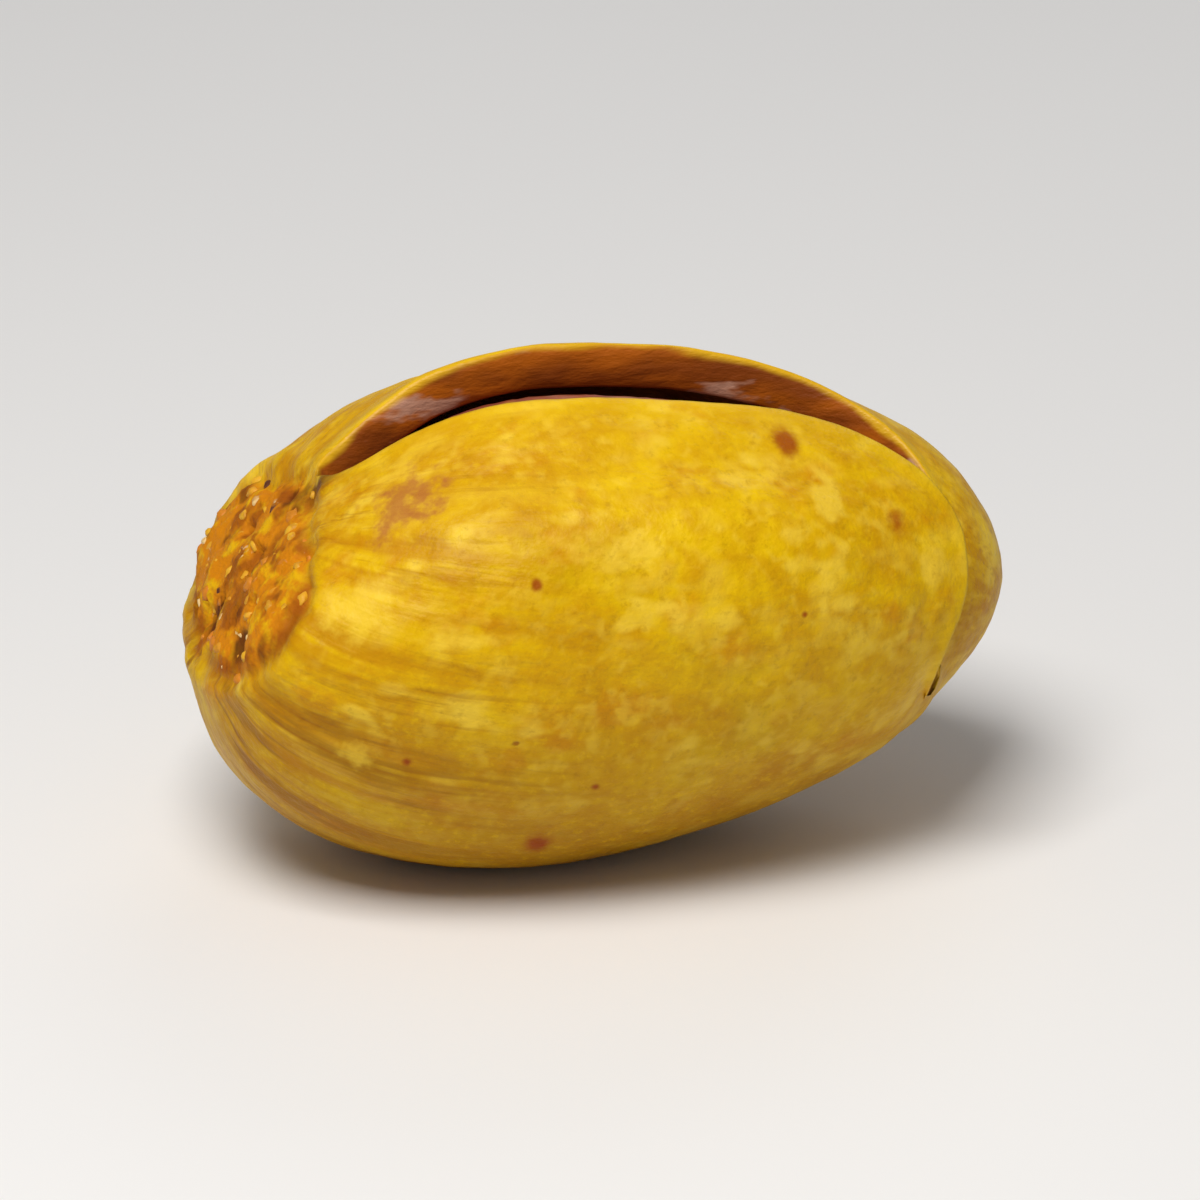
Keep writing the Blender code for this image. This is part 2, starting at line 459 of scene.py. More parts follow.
def relief(tree, place, beyond, tube, side, lips):
    """The wall's thickness, and the masks of the scar, the knot above it and its deep pits."""
    along = parts(tree, tube)[2]
    ragged = noise(tree, place, 800, 3.0) - 0.5
    pit = 0.0
    for middle, radius in SCAR_PITS:
        away = vectors(tree, "SUBTRACT", place, Vector(middle) * MM * share)
        pit = vectors(tree, "LENGTH", away).hill(radius * MM * share) + pit
    edge = beyond + ragged * (0.5 * MM) + pit * (0.8 * MM)
    scar = edge.step(-0.05 * MM, 0.12 * MM)
    from_knot = vectors(tree, "SUBTRACT", place, (SPLIT_START.x, 0.0, SPLIT_START.y))
    knot = vectors(tree, "LENGTH", from_knot).hill(KNOT_SIZE)
    swelling = (noise(tree, place, 230, 1.0) - 0.5) * SWELLING
    dimples = (noise(tree, place, 1300, 2.0) - 0.5) * DIMPLE
    near_stem = along.step(0.55, 0.02)
    grooves = (fibres(tree, tube, 34, 1.5, 1.0) - 0.5) * (near_stem * (GROOVE * 0.85) + GROOVE * 0.15)
    collar = (edge + 0.20 * MM).hill(0.20 * MM) * COLLAR
    moat = edge.hill(0.10 * MM) * MOAT
    lumps = noise(tree, place, 1150, 4.0, 0.62) - 0.52
    pits = noise(tree, place, 1000, 1.0).step(0.40, 0.28) * 0.5
    keel = side.hill(0.07) * KEEL * (1 - scar)
    off_tip = along.step(0.94, 0.66)
    rise = (side.hill(0.10) * LIP_KEEL - (side.size() - 0.38).hill(0.20) * LIP_SLOPE) * lips * off_tip
    crust = (lumps - pits - pit * 0.55) * CRUST * scar
    crinkles = (noise(tree, place, 1900, 2.0) - 0.5) * KNOT * knot
    wall = swelling + dimples + grooves * (1 - scar) + collar - moat + crust + keel + rise + crinkles + WALL
    return wall, scar, knot, pit


print("the wall is", round(WALL / MM, 2), "mm thick before its relief")

# %% [markdown]
# ## The shell's tree
#
# The tree starts from the hollow inside, because a hollow can be torn and spread without its lips ever
# crossing. The outside is the hollow pushed out by the wall's thickness. The lips between the two are
# drawn edge by edge in a half round, so they catch the light as a broken shell's rounded lip does. A
# Solidify modifier would be shorter, but it leaves the lips square and can't read the relief.

# %% From hollow to shell
LIP_BULGE = 0.10 * MM * share
LIP_STEPS = 6
JOIN_WITHIN = 1e-6
ON_SEAM = 1e-4


def tear_and_spread(tree, ball, given):
    """The hollow of the shell, torn along its seam, with the values that later steps read."""
    direction = named(tree, "direction", "FLOAT_VECTOR")
    side = parts(tree, direction)[1]
    position, beyond_scar = outlined(tree, bend_seam(tree, direction), given)
    mesh = store(tree, ball, "beyond", beyond_scar)
    mesh = move_points(tree, mesh, Position=position)
    here = point_places(tree)
    mesh = store(tree, mesh, "past", past_split_line(tree, here))
    past = Number(tree, named(tree, "past"))
    torn = side.size().above(ON_SEAM) + (past * -1).above(0.0)
    split = add(tree, "GeometryNodeSplitEdges", {"Mesh": mesh, "Selection": (1 - torn).above(0.5)})
    whole_face = add(tree, "GeometryNodeFieldOnDomain", {"Value": side}, domain="FACE", data_type="FLOAT")
    lean = Number(tree, whole_face.outputs[0])
    mesh = store(tree, split.outputs[0], "half", lean.sign() * lean.size().above(ON_SEAM))
    half = Number(tree, named(tree, "half"))
    wander = (noise(tree, here, 420, 3.0) - 0.5) * 0.22 + 1
    aside = spread(tree, here, past, side.size() * given["Width"] / 2) * wander * half
    return move_points(tree, mesh, Offset=together(tree, 0.0, aside, 0.0)), side


def shell_tree():
    finishes = {name: ("Material", None) for name in ("Outside", "Lips", "Lining")}
    tree, given, result = new_tree(
        "grow shell",
        "GeometryNodeTree",
        {"Points": ("Int", 9), **NUT_SIZES, "Lip Bulge": ("Float", 0.01), **finishes},
        {"Mesh": ("Geometry", None)},
    )
    ball = ball_of_squares(tree, given["Points"])
    hollow, side = tear_and_spread(tree, ball, given)
    here = point_places(tree)
    outwards = add(tree, "GeometryNodeInputNormal").outputs[0]
    hollow = store(tree, hollow, "inner", here, "FLOAT_VECTOR")
    hollow = store(tree, hollow, "outwards", outwards, "FLOAT_VECTOR")
    hollow = store(tree, hollow, "tube", round_and_along(tree, here), "FLOAT_VECTOR")
    inner = named(tree, "inner", "FLOAT_VECTOR")
    outwards = named(tree, "outwards", "FLOAT_VECTOR")
    past = Number(tree, named(tree, "past"))
    beyond = Number(tree, named(tree, "beyond"))
    tube = named(tree, "tube", "FLOAT_VECTOR")
    thickness, scar, knot, pit = relief(tree, inner, beyond, tube, side, past.step(0.3 * MM, 2.5 * MM))
    by_lip = side.size().hill(0.10) * past.step(0.0, 1.0 * MM)
    masks = {"wall": thickness, "scar": scar, "knot": knot, "pit": pit, "lip": by_lip, "through": 0.0}
    for name, value in masks.items():
        hollow = store(tree, hollow, name, value)
    wall = Number(tree, named(tree, "wall"))

    def in_wall(part, bulge):
        """A place in the wall: part of the way out, and bulging into the gap."""
        out = vectors(tree, "SCALE", outwards, scale=wall * part)
        gapward = together(tree, 0.0, Number(tree, named(tree, "half")) * -1, 0.0)
        level = vectors(tree, "SCALE", outwards, scale=vectors(tree, "DOT_PRODUCT", gapward, outwards))
        gapward = vectors(tree, "NORMALIZE", vectors(tree, "SUBTRACT", gapward, level))
        freed = past.step(0.0, 0.5 * MM) * given["Lip Bulge"] * bulge
        bulged = vectors(tree, "SCALE", gapward, scale=freed)
        return vectors(tree, "ADD", inner, vectors(tree, "ADD", out, bulged))

    outside = store(tree, move_points(tree, hollow, Position=in_wall(1.0, 0.0)), "through", 1.0)
    outside = store(tree, outside, "coat", 1.0, domain="FACE")
    mesh = add(tree, "GeometryNodeFlipFaces", {"Mesh": hollow}).outputs[0]
    faces = Number(tree, add(tree, "GeometryNodeInputMeshEdgeNeighbors").outputs["Face Count"])
    edge = (1.5 - faces).above(0.0)
    for turn in range(1, LIP_STEPS + 1):
        angle = math.pi * turn / LIP_STEPS
        pull = {"Mesh": mesh, "Selection": edge, "Offset Scale": 0.0}
        lip = add(tree, "GeometryNodeExtrudeMesh", pull, mode="EDGES")
        edge = lip.outputs["Top"]
        part = (1 - math.cos(angle)) / 2
        mesh = move_points(tree, lip.outputs["Mesh"], edge, Position=in_wall(part, math.sin(angle)))
        mesh = store(tree, mesh, "coat", 2.0, domain="FACE", where=lip.outputs["Side"])
        mesh = store(tree, mesh, "through", part, where=edge)
    both = add(tree, "GeometryNodeJoinGeometry")
    tree.links.new(outside, both.inputs[0])
    tree.links.new(mesh, both.inputs[0])
    near = {"Geometry": both.outputs[0], "Distance": JOIN_WITHIN}
    joined = add(tree, "GeometryNodeMergeByDistance", near)
    smooth = add(tree, "GeometryNodeSetShadeSmooth", {"Geometry": joined.outputs[0], "Shade Smooth": True})
    mesh = add(tree, "GeometryNodeRealizeInstances", {"Geometry": smooth.outputs[0]}).outputs[0]
    layer = Number(tree, named(tree, "coat"))
    for name, low in (("Lining", -0.5), ("Outside", 0.5), ("Lips", 1.5)):
        coated = {"Geometry": mesh, "Selection": layer.above(low), "Material": given[name]}
        mesh = add(tree, "GeometryNodeSetMaterial", coated).outputs[0]
    plug(tree, mesh, result["Mesh"])
    return tree


shell_grower = shell_tree()
print("the shell's tree holds", len(shell_grower.nodes), "nodes")

# %% [markdown]
# ## Patterns that several finishes share
#
# Dye, stains and fibres turn up on the outside, on the lips, inside the shell and on the kernel's skin,
# each time in other colours. Each pattern is one shader node group with named inputs, built once. A group
# puts out only masks, and every material decides what to do with them.

# %% Mottling, specks and fibres
def shader_group(name, inputs, outputs):
    numbers = {label: ("Float", start) for label, start in inputs.items()}
    masks = {label: ("Float", None) for label in outputs}
    return new_tree(name, "ShaderNodeTree", {"Place": ("Vector", None), **numbers}, masks)


def mottle_group():
    """Dye that has taken unevenly: soft clouds, and pale patches where it hardly took."""
    tree, given, result = shader_group(
        "mottle", {"Cloud Scale": 260.0, "Patch Scale": 900.0}, ("Clouds", "Patches")
    )
    clouds = noise(tree, given["Place"], given["Cloud Scale"], 4.0, 0.6, 0.3)
    fine = noise(tree, given["Place"], given["Patch Scale"], 1.6, 0.5, 0.3)
    broad = noise(tree, given["Place"], Number(tree, given["Patch Scale"]) / 4.1, 2.0)
    plug(tree, clouds.step(0.34, 0.68), result["Clouds"])
    plug(tree, (fine * 0.6 + broad * 0.4).step(0.50, 0.70), result["Patches"])
    return tree


def speck_group():
    """Small round spots of many sizes, thinly scattered."""
    tree, given, result = shader_group("specks", {"Scale": 700.0, "Amount": 0.2, "Size": 0.3}, ("Specks",))
    shake = noise(tree, given["Place"], Number(tree, given["Scale"]) * 2.2, 2.0) - 0.5
    cells = add(tree, "ShaderNodeTexVoronoi", {"Vector": given["Place"], "Scale": given["Scale"]})
    distance = Number(tree, cells.outputs["Distance"]) + shake * 0.22
    lot, luck, _ = parts(tree, cells.outputs["Color"])
    radius = luck * 0.8 * Number(tree, given["Size"]) + Number(tree, given["Size"]) * 0.2
    inside = (distance / radius).step(1.15, 0.55)
    plug(tree, inside * (Number(tree, given["Amount"]) - lot).above(0.0), result["Specks"])
    return tree


def fibre_group():
    """Long streaks from scar to tip, read on the shell's own tube places."""
    tree, given, result = shader_group("fibres", {"Count": 60.0, "Stretch": 2.5}, ("Fibres", "Threads"))
    x, y, along = parts(tree, given["Place"])
    for output, finer in (("Fibres", 1.0), ("Threads", 2.6)):
        reach = Number(tree, given["Count"]) * (finer / (2 * math.pi))
        place = together(tree, x * reach, y * reach, along * given["Stretch"] * finer)
        plug(tree, noise(tree, place, 1.0, 3.0, 0.6, 0.3), result[output])
    return tree


def blotch_group():
    """One soft, ragged spot about a chosen place."""
    tree, given, result = new_tree(
        "blotch",
        "ShaderNodeTree",
        {"Place": ("Vector", None), "Middle": ("Vector", (0.0, 0.0, 0.0)), "Radius": ("Float", 0.001),
         "Flatness": ("Vector", (1.0, 1.0, 1.0)), "Ragged": ("Float", 0.5)},
        {"Spot": ("Float", None)},
    )
    away = vectors(tree, "SUBTRACT", given["Place"], given["Middle"])
    away = vectors(tree, "MULTIPLY", away, given["Flatness"])
    distance = vectors(tree, "LENGTH", away) / given["Radius"]
    ragged = (noise(tree, given["Place"], 1.0 / (0.55 * MM), 3.0, 0.6) - 0.5) * 2 * given["Ragged"]
    plug(tree, (distance + ragged).step(1.25, 0.35), result["Spot"])
    return tree


mottle, specks, fibre_streaks, blotch = mottle_group(), speck_group(), fibre_group(), blotch_group()
print("four shared patterns")

# %% [markdown]
# Each material starts the same way: a Principled BSDF, and colours laid over each other by masks, like
# coats of thin paint. A few helpers keep that short.

# %% Laying colours over each other
def new_material(name, roughness, **shader_values):
    material = bpy.data.materials.new(name)
    material.use_nodes = True
    tree = material.node_tree
    surface = tree.nodes["Principled BSDF"]
    surface.inputs["Roughness"].default_value = roughness
    for label, value in shader_values.items():
        surface.inputs[label.replace("_", " ")].default_value = value
    place = add(tree, "ShaderNodeTexCoord").outputs["Object"]
    return material, tree, surface, place


def pattern(tree, group, **values):
    node = add(tree, "ShaderNodeGroup", node_tree=group)
    for label, value in values.items():
        plug(tree, value, node.inputs[label.replace("_", " ")])
    return {socket.name: Number(tree, socket) for socket in node.outputs}


def coat(tree, under, over, mask):
    """Lays one colour over another where the mask is 1."""
    node = add(tree, "ShaderNodeMix", data_type="RGBA", clamp_factor=True)
    plug(tree, mask, node.inputs["Factor"])
    for socket, colour in zip([s for s in node.inputs if s.type == "RGBA"], (under, over)):
        plug(tree, colour, socket)
    return next(s for s in node.outputs if s.type == "RGBA")


def coats(tree, colour, *layers):
    """Lays several colours over one, from the first to the last, each by its own mask."""
    for over, mask in layers:
        colour = coat(tree, colour, over, mask)
    return colour


def stored(tree, name, vector=False):
    node = add(tree, "ShaderNodeAttribute", attribute_name=name)
    return node.outputs["Vector"] if vector else Number(tree, node.outputs["Fac"])


def rgb(red, green, blue):
    """A colour as a screen shows it, turned into the linear values that a shader mixes."""
    linear = [((c / 255 + 0.055) / 1.055) ** 2.4 if c > 10 else c / 255 / 12.92 for c in (red, green, blue)]
    return (*linear, 1.0)


def cloudy(tree, place):
    """The noise above, tied to one place, so that a material only has to name its scale."""
    return lambda scale, detail=2.0, roughness=0.5: noise(tree, place, scale, detail, roughness)


def spot_at(tree, place, middle, radius, flatness, ragged):
    """The mask of one blotch, with its middle and radius in mm."""
    at = {"Middle": Vector(middle) * MM, "Radius": radius * MM, "Flatness": flatness, "Ragged": ragged}
    return pattern(tree, blotch, Place=place, **at)["Spot"]


def bump(tree, surface, height, depth):
    node = add(tree, "ShaderNodeBump", {"Height": height, "Distance": depth, "Strength": 1.0})
    plug(tree, node.outputs[0], surface.inputs["Normal"])


print("ready to mix colours")

# %% [markdown]
# ## The dyed outside
#
# Saffron dye gives the shell its golden yellow. It takes unevenly: creamy where the shell is dense, orange
# in the grooves, olive here and there on the belly of the nut. Roasting leaves small brown spots. Near the
# scar the fibres are stained. The scar is crusted, orange with brown pits and pale crumbs. The lower side is
# darkened as painted shade. The scar's lumps get painted highlights, and its deep pits painted shade.

# %% Shell, outside
GOLD = rgb(214, 163, 0)
BRIGHT_GOLD = rgb(234, 192, 2)
DEEP_GOLD = rgb(184, 116, 0)
OLIVE_GOLD = rgb(148, 116, 0)
PALE_GOLD = rgb(242, 204, 62)
# this colour paints shade on the lower side, and also a dark grain
PAINTED_SHADE_AND_GRAIN_GOLD = rgb(150, 98, 0)
OLIVE_BROWN = rgb(118, 76, 0)
MOTTLE_ORANGE = rgb(202, 126, 0)
ROAST_BROWN = rgb(140, 62, 2)
RED_BROWN = rgb(150, 50, 4)
SCAR_ORANGE = rgb(208, 128, 6)
CORK_BROWN = rgb(156, 84, 6)
PIT_BROWN = rgb(88, 40, 4)
PALE_CRUMB = rgb(238, 214, 160)
STAIN_BROWN = rgb(172, 96, 50)

BY_THE_LIP = (1.0, 0.7, 0.6)  # a spot's reach along X, Y and Z is divided by these
ON_THE_CHEEK = (1.0, 0.4, 1.0)
ROAST_SPOTS = (  # middle and radius in mm
    ((3.86, -2.92, 11.00), 0.38, BY_THE_LIP),
    ((6.37, -4.25, 9.30), 0.32, BY_THE_LIP),
    ((-2.92, -5.93, 9.03), 0.17, ON_THE_CHEEK),
    ((3.59, -6.14, 7.70), 0.10, ON_THE_CHEEK),
    ((-2.59, -4.52, 1.89), 0.40, ON_THE_CHEEK),
    ((-5.96, -5.42, 4.63), 0.13, ON_THE_CHEEK),
    ((-1.46, -5.75, 3.69), 0.14, ON_THE_CHEEK),
    ((2.10, 5.60, 8.40), 0.28, ON_THE_CHEEK),
    ((-4.80, 5.40, 5.10), 0.20, ON_THE_CHEEK),
    ((5.60, 3.90, 6.10), 0.16, ON_THE_CHEEK),
)
PALE_SPOTS = (
    ((-6.97, -5.01, 8.38), 0.75, (0.8, 1.0, 0.9)),
    ((-4.50, -5.96, 7.78), 0.85, (0.8, 1.0, 3.6)),
    ((3.58, -5.50, 9.60), 0.32, (0.7, 1.0, 1.0)),
    ((-0.22, -5.87, 9.60), 0.42, (0.8, 1.0, 1.0)),
    ((-6.98, -5.07, 4.83), 0.40, (0.8, 1.0, 1.0)),
    ((4.50, -5.94, 7.78), 0.45, (0.8, 1.0, 1.4)),
    ((1.00, 5.90, 9.00), 0.80, (0.6, 1.0, 1.4)),
    ((-3.40, 5.90, 7.20), 0.60, (0.7, 1.0, 1.8)),
)
STAIN = ((-5.65, -3.40, 10.75), 0.85, (0.75, 0.8, 0.8))


def dye_and_painted_shade(tree, place, tube):
    """The dye's colour, mottled at three sizes and drawn into fibres near both ends, with painted shade on
    the lower side.
    """
    drawn = vectors(tree, "MULTIPLY", place, (0.7, 1.0, 1.0))
    cloud, long_cloud = cloudy(tree, place), cloudy(tree, drawn)
    coarse = pattern(tree, mottle, Place=drawn, Cloud_Scale=420.0, Patch_Scale=1500.0)
    fine = pattern(tree, mottle, Place=place, Cloud_Scale=1500.0, Patch_Scale=2600.0)
    streaks = pattern(tree, fibre_streaks, Place=tube, Count=36.0, Stretch=1.6)
    fibre, thread = streaks["Fibres"], streaks["Threads"]
    along, height = parts(tree, tube)[2], parts(tree, place)[2]
    near_stem, near_tip = along.step(0.50, 0.03), along.step(0.78, 0.97)
    heel = near_stem * height.step(8.6 * MM, 4.2 * MM)
    grain = cloud(3400, 3.0, 0.7)
    mottled_and_shaded = coats(
        tree,
        GOLD,
        (BRIGHT_GOLD, coarse["Clouds"]),
        (DEEP_GOLD, cloud(150, 3.0).step(0.46, 0.70) * 0.40),
        (OLIVE_GOLD, cloud(200, 3.0, 0.6).step(0.55, 0.78) * 0.35),
        (DEEP_GOLD, fine["Clouds"] * 0.35),
        (MOTTLE_ORANGE, long_cloud(640, 3.0, 0.6).step(0.54, 0.70) * 0.50),
        (PALE_GOLD, long_cloud(860).step(0.58, 0.70) * 0.70),
        (PALE_GOLD, coarse["Patches"] * 0.50),
        (PALE_GOLD, fine["Patches"] * 0.45),
        # painted shade: the lower side is darker, as it would be in shade
        (PAINTED_SHADE_AND_GRAIN_GOLD, height.step(6.4 * MM, 0.2 * MM) * 0.65),
        (PAINTED_SHADE_AND_GRAIN_GOLD, grain.step(0.46, 0.28) * 0.25),
        (BRIGHT_GOLD, grain.step(0.52, 0.74) * 0.40),
    )
    streaked = coats(
        tree,
        mottled_and_shaded,
        (DEEP_GOLD, fibre.step(0.52, 0.34) * (near_stem * 0.60 + near_tip * 0.45)),
        (OLIVE_BROWN, (fibre * 0.6 + thread * 0.4).step(0.48, 0.38) * heel * 0.42),
        (PALE_GOLD, fibre.step(0.52, 0.72) * (near_stem * 0.45 + near_tip * 0.60)),
        (ROAST_BROWN, thread.step(0.44, 0.30) * (near_stem * 0.35 + near_tip * 0.25)),
    )
    return streaked, thread, near_stem


def scarred(tree, place, colour, scar, beyond):
    """Lays the scar's crust over the dye: orange cork, painted highlights on its lumps, pale crumbs, brown
    pits, painted shade in the deep pits and a brown outline.
    """
    cloud = cloudy(tree, place)
    crumbs = cloud(1500, 3.0, 0.6)
    crust = coats(
        tree,
        SCAR_ORANGE,
        # painted highlight: the crust's lumps, raised by the bump, are lighter in colour
        (BRIGHT_GOLD, crumbs.step(0.48, 0.68) * 0.65),
        (CORK_BROWN, cloud(700, 3.0, 0.6).step(0.50, 0.62) * 0.9),
        (PALE_CRUMB, cloud(1200, 4.0, 0.7).step(0.66, 0.73) * 0.75),
        (PIT_BROWN, cloud(1000, 1.0).step(0.40, 0.30) * 0.7),
        # painted shade: the deep pits are darkened
        (PIT_BROWN, (stored(tree, "pit") + (crumbs - 0.5) * 0.9).step(0.35, 0.75) * 0.9),
    )
    outline = (beyond - 0.02 * MM).hill(0.13 * MM) * cloud(600).step(0.36, 0.62)
    return coats(tree, colour, (crust, scar), (ROAST_BROWN, outline * 0.75)), crumbs


def outside_material():
    material, tree, surface, place = new_material("dyed_shell", 0.42, Specular_IOR_Level=0.13)
    cloud = cloudy(tree, place)
    scar = stored(tree, "scar")
    colour, threads, near_stem = dye_and_painted_shade(tree, place, stored(tree, "tube", vector=True))
    dots = pattern(tree, specks, Place=place, Scale=560.0, Amount=0.10, Size=0.11)["Specks"]
    colour = coats(
        tree,
        colour,
        *((PALE_GOLD, spot_at(tree, place, *pale, 1.1) * 0.6) for pale in PALE_SPOTS),
        (ROAST_BROWN, dots * 0.7),
        *((RED_BROWN, spot_at(tree, place, *roast, 0.6) * 0.85) for roast in ROAST_SPOTS),
        (STAIN_BROWN, spot_at(tree, place, *STAIN, 1.4) * 0.75),
    )
    colour, crumbs = scarred(tree, place, colour, scar, stored(tree, "beyond"))
    colour = coats(
        tree,
        colour,
        (PIT_BROWN, stored(tree, "knot") * cloud(900, 3.0).step(0.42, 0.58)),
        (BRIGHT_GOLD, stored(tree, "lip") * 0.4),
    )
    plug(tree, colour, surface.inputs["Base Color"])
    plug(tree, 0.34 + cloud(700, 3.0) * 0.22 + scar * 0.25, surface.inputs["Roughness"])
    leather = cloud(1500, 3.0, 0.6) * 0.7 + cloud(4200, 3.0, 0.6) * 0.3
    grain = leather + threads * (near_stem * 0.5 + 0.10) + scar * crumbs * 1.2 - dots * 0.25
    bump(tree, surface, grain, 0.09 * MM)
    return material


outside = outside_material()
print("the outside mixes", len(outside.node_tree.nodes), "nodes")

# %% [markdown]
# ## Lips and lining
#
# The wall's thickness shows at the lips. Only its outer rim took the dye. Behind the rim the broken wall
# is orange-brown, and a reddish film of the kernel's skin clings to it. The lining is bare shell, smooth
# and tan, streaked by the same skin. The mask "through" says how far out in the wall each point lies.

# %% Shell, lips and lining
RIM_YELLOW = rgb(226, 174, 14)
WALL_ORANGE = rgb(188, 98, 10)
WALL_BROWN = rgb(136, 64, 10)
LINING_TAN = rgb(204, 128, 56)
LINING_BROWN = rgb(166, 90, 36)
SKIN_RED = rgb(150, 58, 34)
FILM_LILAC = rgb(206, 160, 138)
FILM_MIDDLE = (-5.5, 1.2, 11.0)  # in mm: the skin's film clings most to the far lip, near the stem


def place_near(tree, place, middle, reach):
    """1 at a place given in mm, fading out over the reach."""
    away = vectors(tree, "SUBTRACT", place, Vector(middle) * MM)
    return vectors(tree, "LENGTH", away).hill(reach * MM)


def lip_material():
    material, tree, surface, place = new_material("shell_lips", 0.45, Specular_IOR_Level=0.35)
    cloud = cloudy(tree, vectors(tree, "MULTIPLY", place, (0.35, 1.0, 1.0)))
    rim = stored(tree, "through") + (cloud(900, 3.0) - 0.5) * 0.5
    film = cloud(760, 4.0, 0.6) + place_near(tree, place, FILM_MIDDLE, 2.4) * 0.12
    colour = coats(
        tree,
        WALL_ORANGE,
        (WALL_BROWN, cloud(700, 3.0).step(0.40, 0.62)),
        (SKIN_RED, cloud(380).step(0.52, 0.64) * 0.7),
        (FILM_LILAC, film.step(0.57, 0.65) * 0.80),
        (RIM_YELLOW, rim.step(0.80, 1.00)),
        (PIT_BROWN, stored(tree, "knot") * noise(tree, place, 900, 3.0).step(0.36, 0.52)),
    )
    plug(tree, colour, surface.inputs["Base Color"])
    bump(tree, surface, cloud(2200, 4.0, 0.6), 0.08 * MM)
    return material


def lining_material():
    material, tree, surface, place = new_material("shell_lining", 0.42, Specular_IOR_Level=0.35)
    tube = stored(tree, "tube", vector=True)
    streaks = pattern(tree, fibre_streaks, Place=tube, Count=44.0, Stretch=2.6)
    dye = pattern(tree, mottle, Place=place, Cloud_Scale=420.0, Patch_Scale=1100.0)
    colour = coats(
        tree,
        LINING_TAN,
        (LINING_BROWN, dye["Clouds"]),
        (LINING_BROWN, streaks["Fibres"].step(0.52, 0.38) * 0.7),
        (SKIN_RED, noise(tree, place, 300, 3.0).step(0.50, 0.66) * 0.75),
        (FILM_LILAC, dye["Patches"] * 0.6),
    )
    plug(tree, colour, surface.inputs["Base Color"])
    bump(tree, surface, streaks["Threads"], 0.06 * MM)
    return material


lips, lining = lip_material(), lining_material()
print("lips and lining are mixed")

# %% [markdown]
# ## Growing the shell and laying it down
#
# The tree makes the nut lying level about its own middle. On the table it rests a little tip-down, on a
# small worn flat of its back. It is turned by that angle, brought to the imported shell's box exactly, and
# pressed flat where it would sink below the table.

# %% The shell
TIP_DIP = math.radians(5.0)
REST_FLAT_DEPTH = 0.30 * MM * share
CLEAR_OF_BOX = 0.004 * MM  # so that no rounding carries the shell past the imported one's box


def laid_down(piece):
    """Turns a grown piece to the angle at which the nut lies."""
    piece.data.transform(Matrix.Rotation(TIP_DIP, 4, "Y"))
    return piece


def box_of(piece):
    corners = [[v.co[k] for v in piece.data.vertices] for k in range(3)]
    return Vector(map(min, corners)), Vector(map(max, corners))


def tidy_normals(piece):
    """Merges doubled points, and turns every face outwards."""
    mesh = bmesh.new()
    mesh.from_mesh(piece.data)
    bmesh.ops.remove_doubles(mesh, verts=mesh.verts[:], dist=JOIN_WITHIN)
    bmesh.ops.recalc_face_normals(mesh, faces=mesh.faces[:])
    open_edges = sum(1 for edge in mesh.edges if not edge.is_manifold)
    mesh.to_mesh(piece.data)
    mesh.free()
    print(piece.name, "has", open_edges, "open edges")


shell = laid_down(
    grow(
        "shell_grown",
        shell_grower,
        {"Points": 81, **nut_sizes(18.3, 9.9, 10.3, 7.1), "Lip Bulge": LIP_BULGE, "Outside": outside,
         "Lips": lips, "Lining": lining},
    )
)
grown_low, grown_high = box_of(shell)
room_low = shell_low + Vector((CLEAR_OF_BOX, CLEAR_OF_BOX, -REST_FLAT_DEPTH))
room_high = shell_high - Vector((CLEAR_OF_BOX, CLEAR_OF_BOX, CLEAR_OF_BOX))
stretch = Vector((room_high - room_low)[k] / (grown_high - grown_low)[k] for k in range(3))
TO_TABLE = Matrix.Translation(room_low) @ Matrix.Diagonal((*stretch, 1.0)) @ Matrix.Translation(-grown_low)
shell.data.transform(TO_TABLE)
for point in shell.data.vertices:
    point.co.z = max(point.co.z, 0.0)
tidy_normals(shell)
print("brought to the box by", [round(s, 4) for s in stretch])

# %% [markdown]
# ## The kernel
#
# The kernel fills the hollow almost to the lips. Its belly narrows to a ridge between them, with a furrow
# where its two seed leaves meet. Roasting has shrunk the flesh, so the skin lies on it in long wrinkles.
# It follows the shell's outline, so it uses the same group at a smaller size, and needs only its own
# relief.

# %% The kernel's tree
WRINKLE = 0.36 * MM * share
CREASE = 0.10 * MM * share
FURROW = 0.42 * MM * share
RIDGE = 0.36
KERNEL_MIDDLE = Vector((-0.3, 0.0, 0.55)) * MM * share


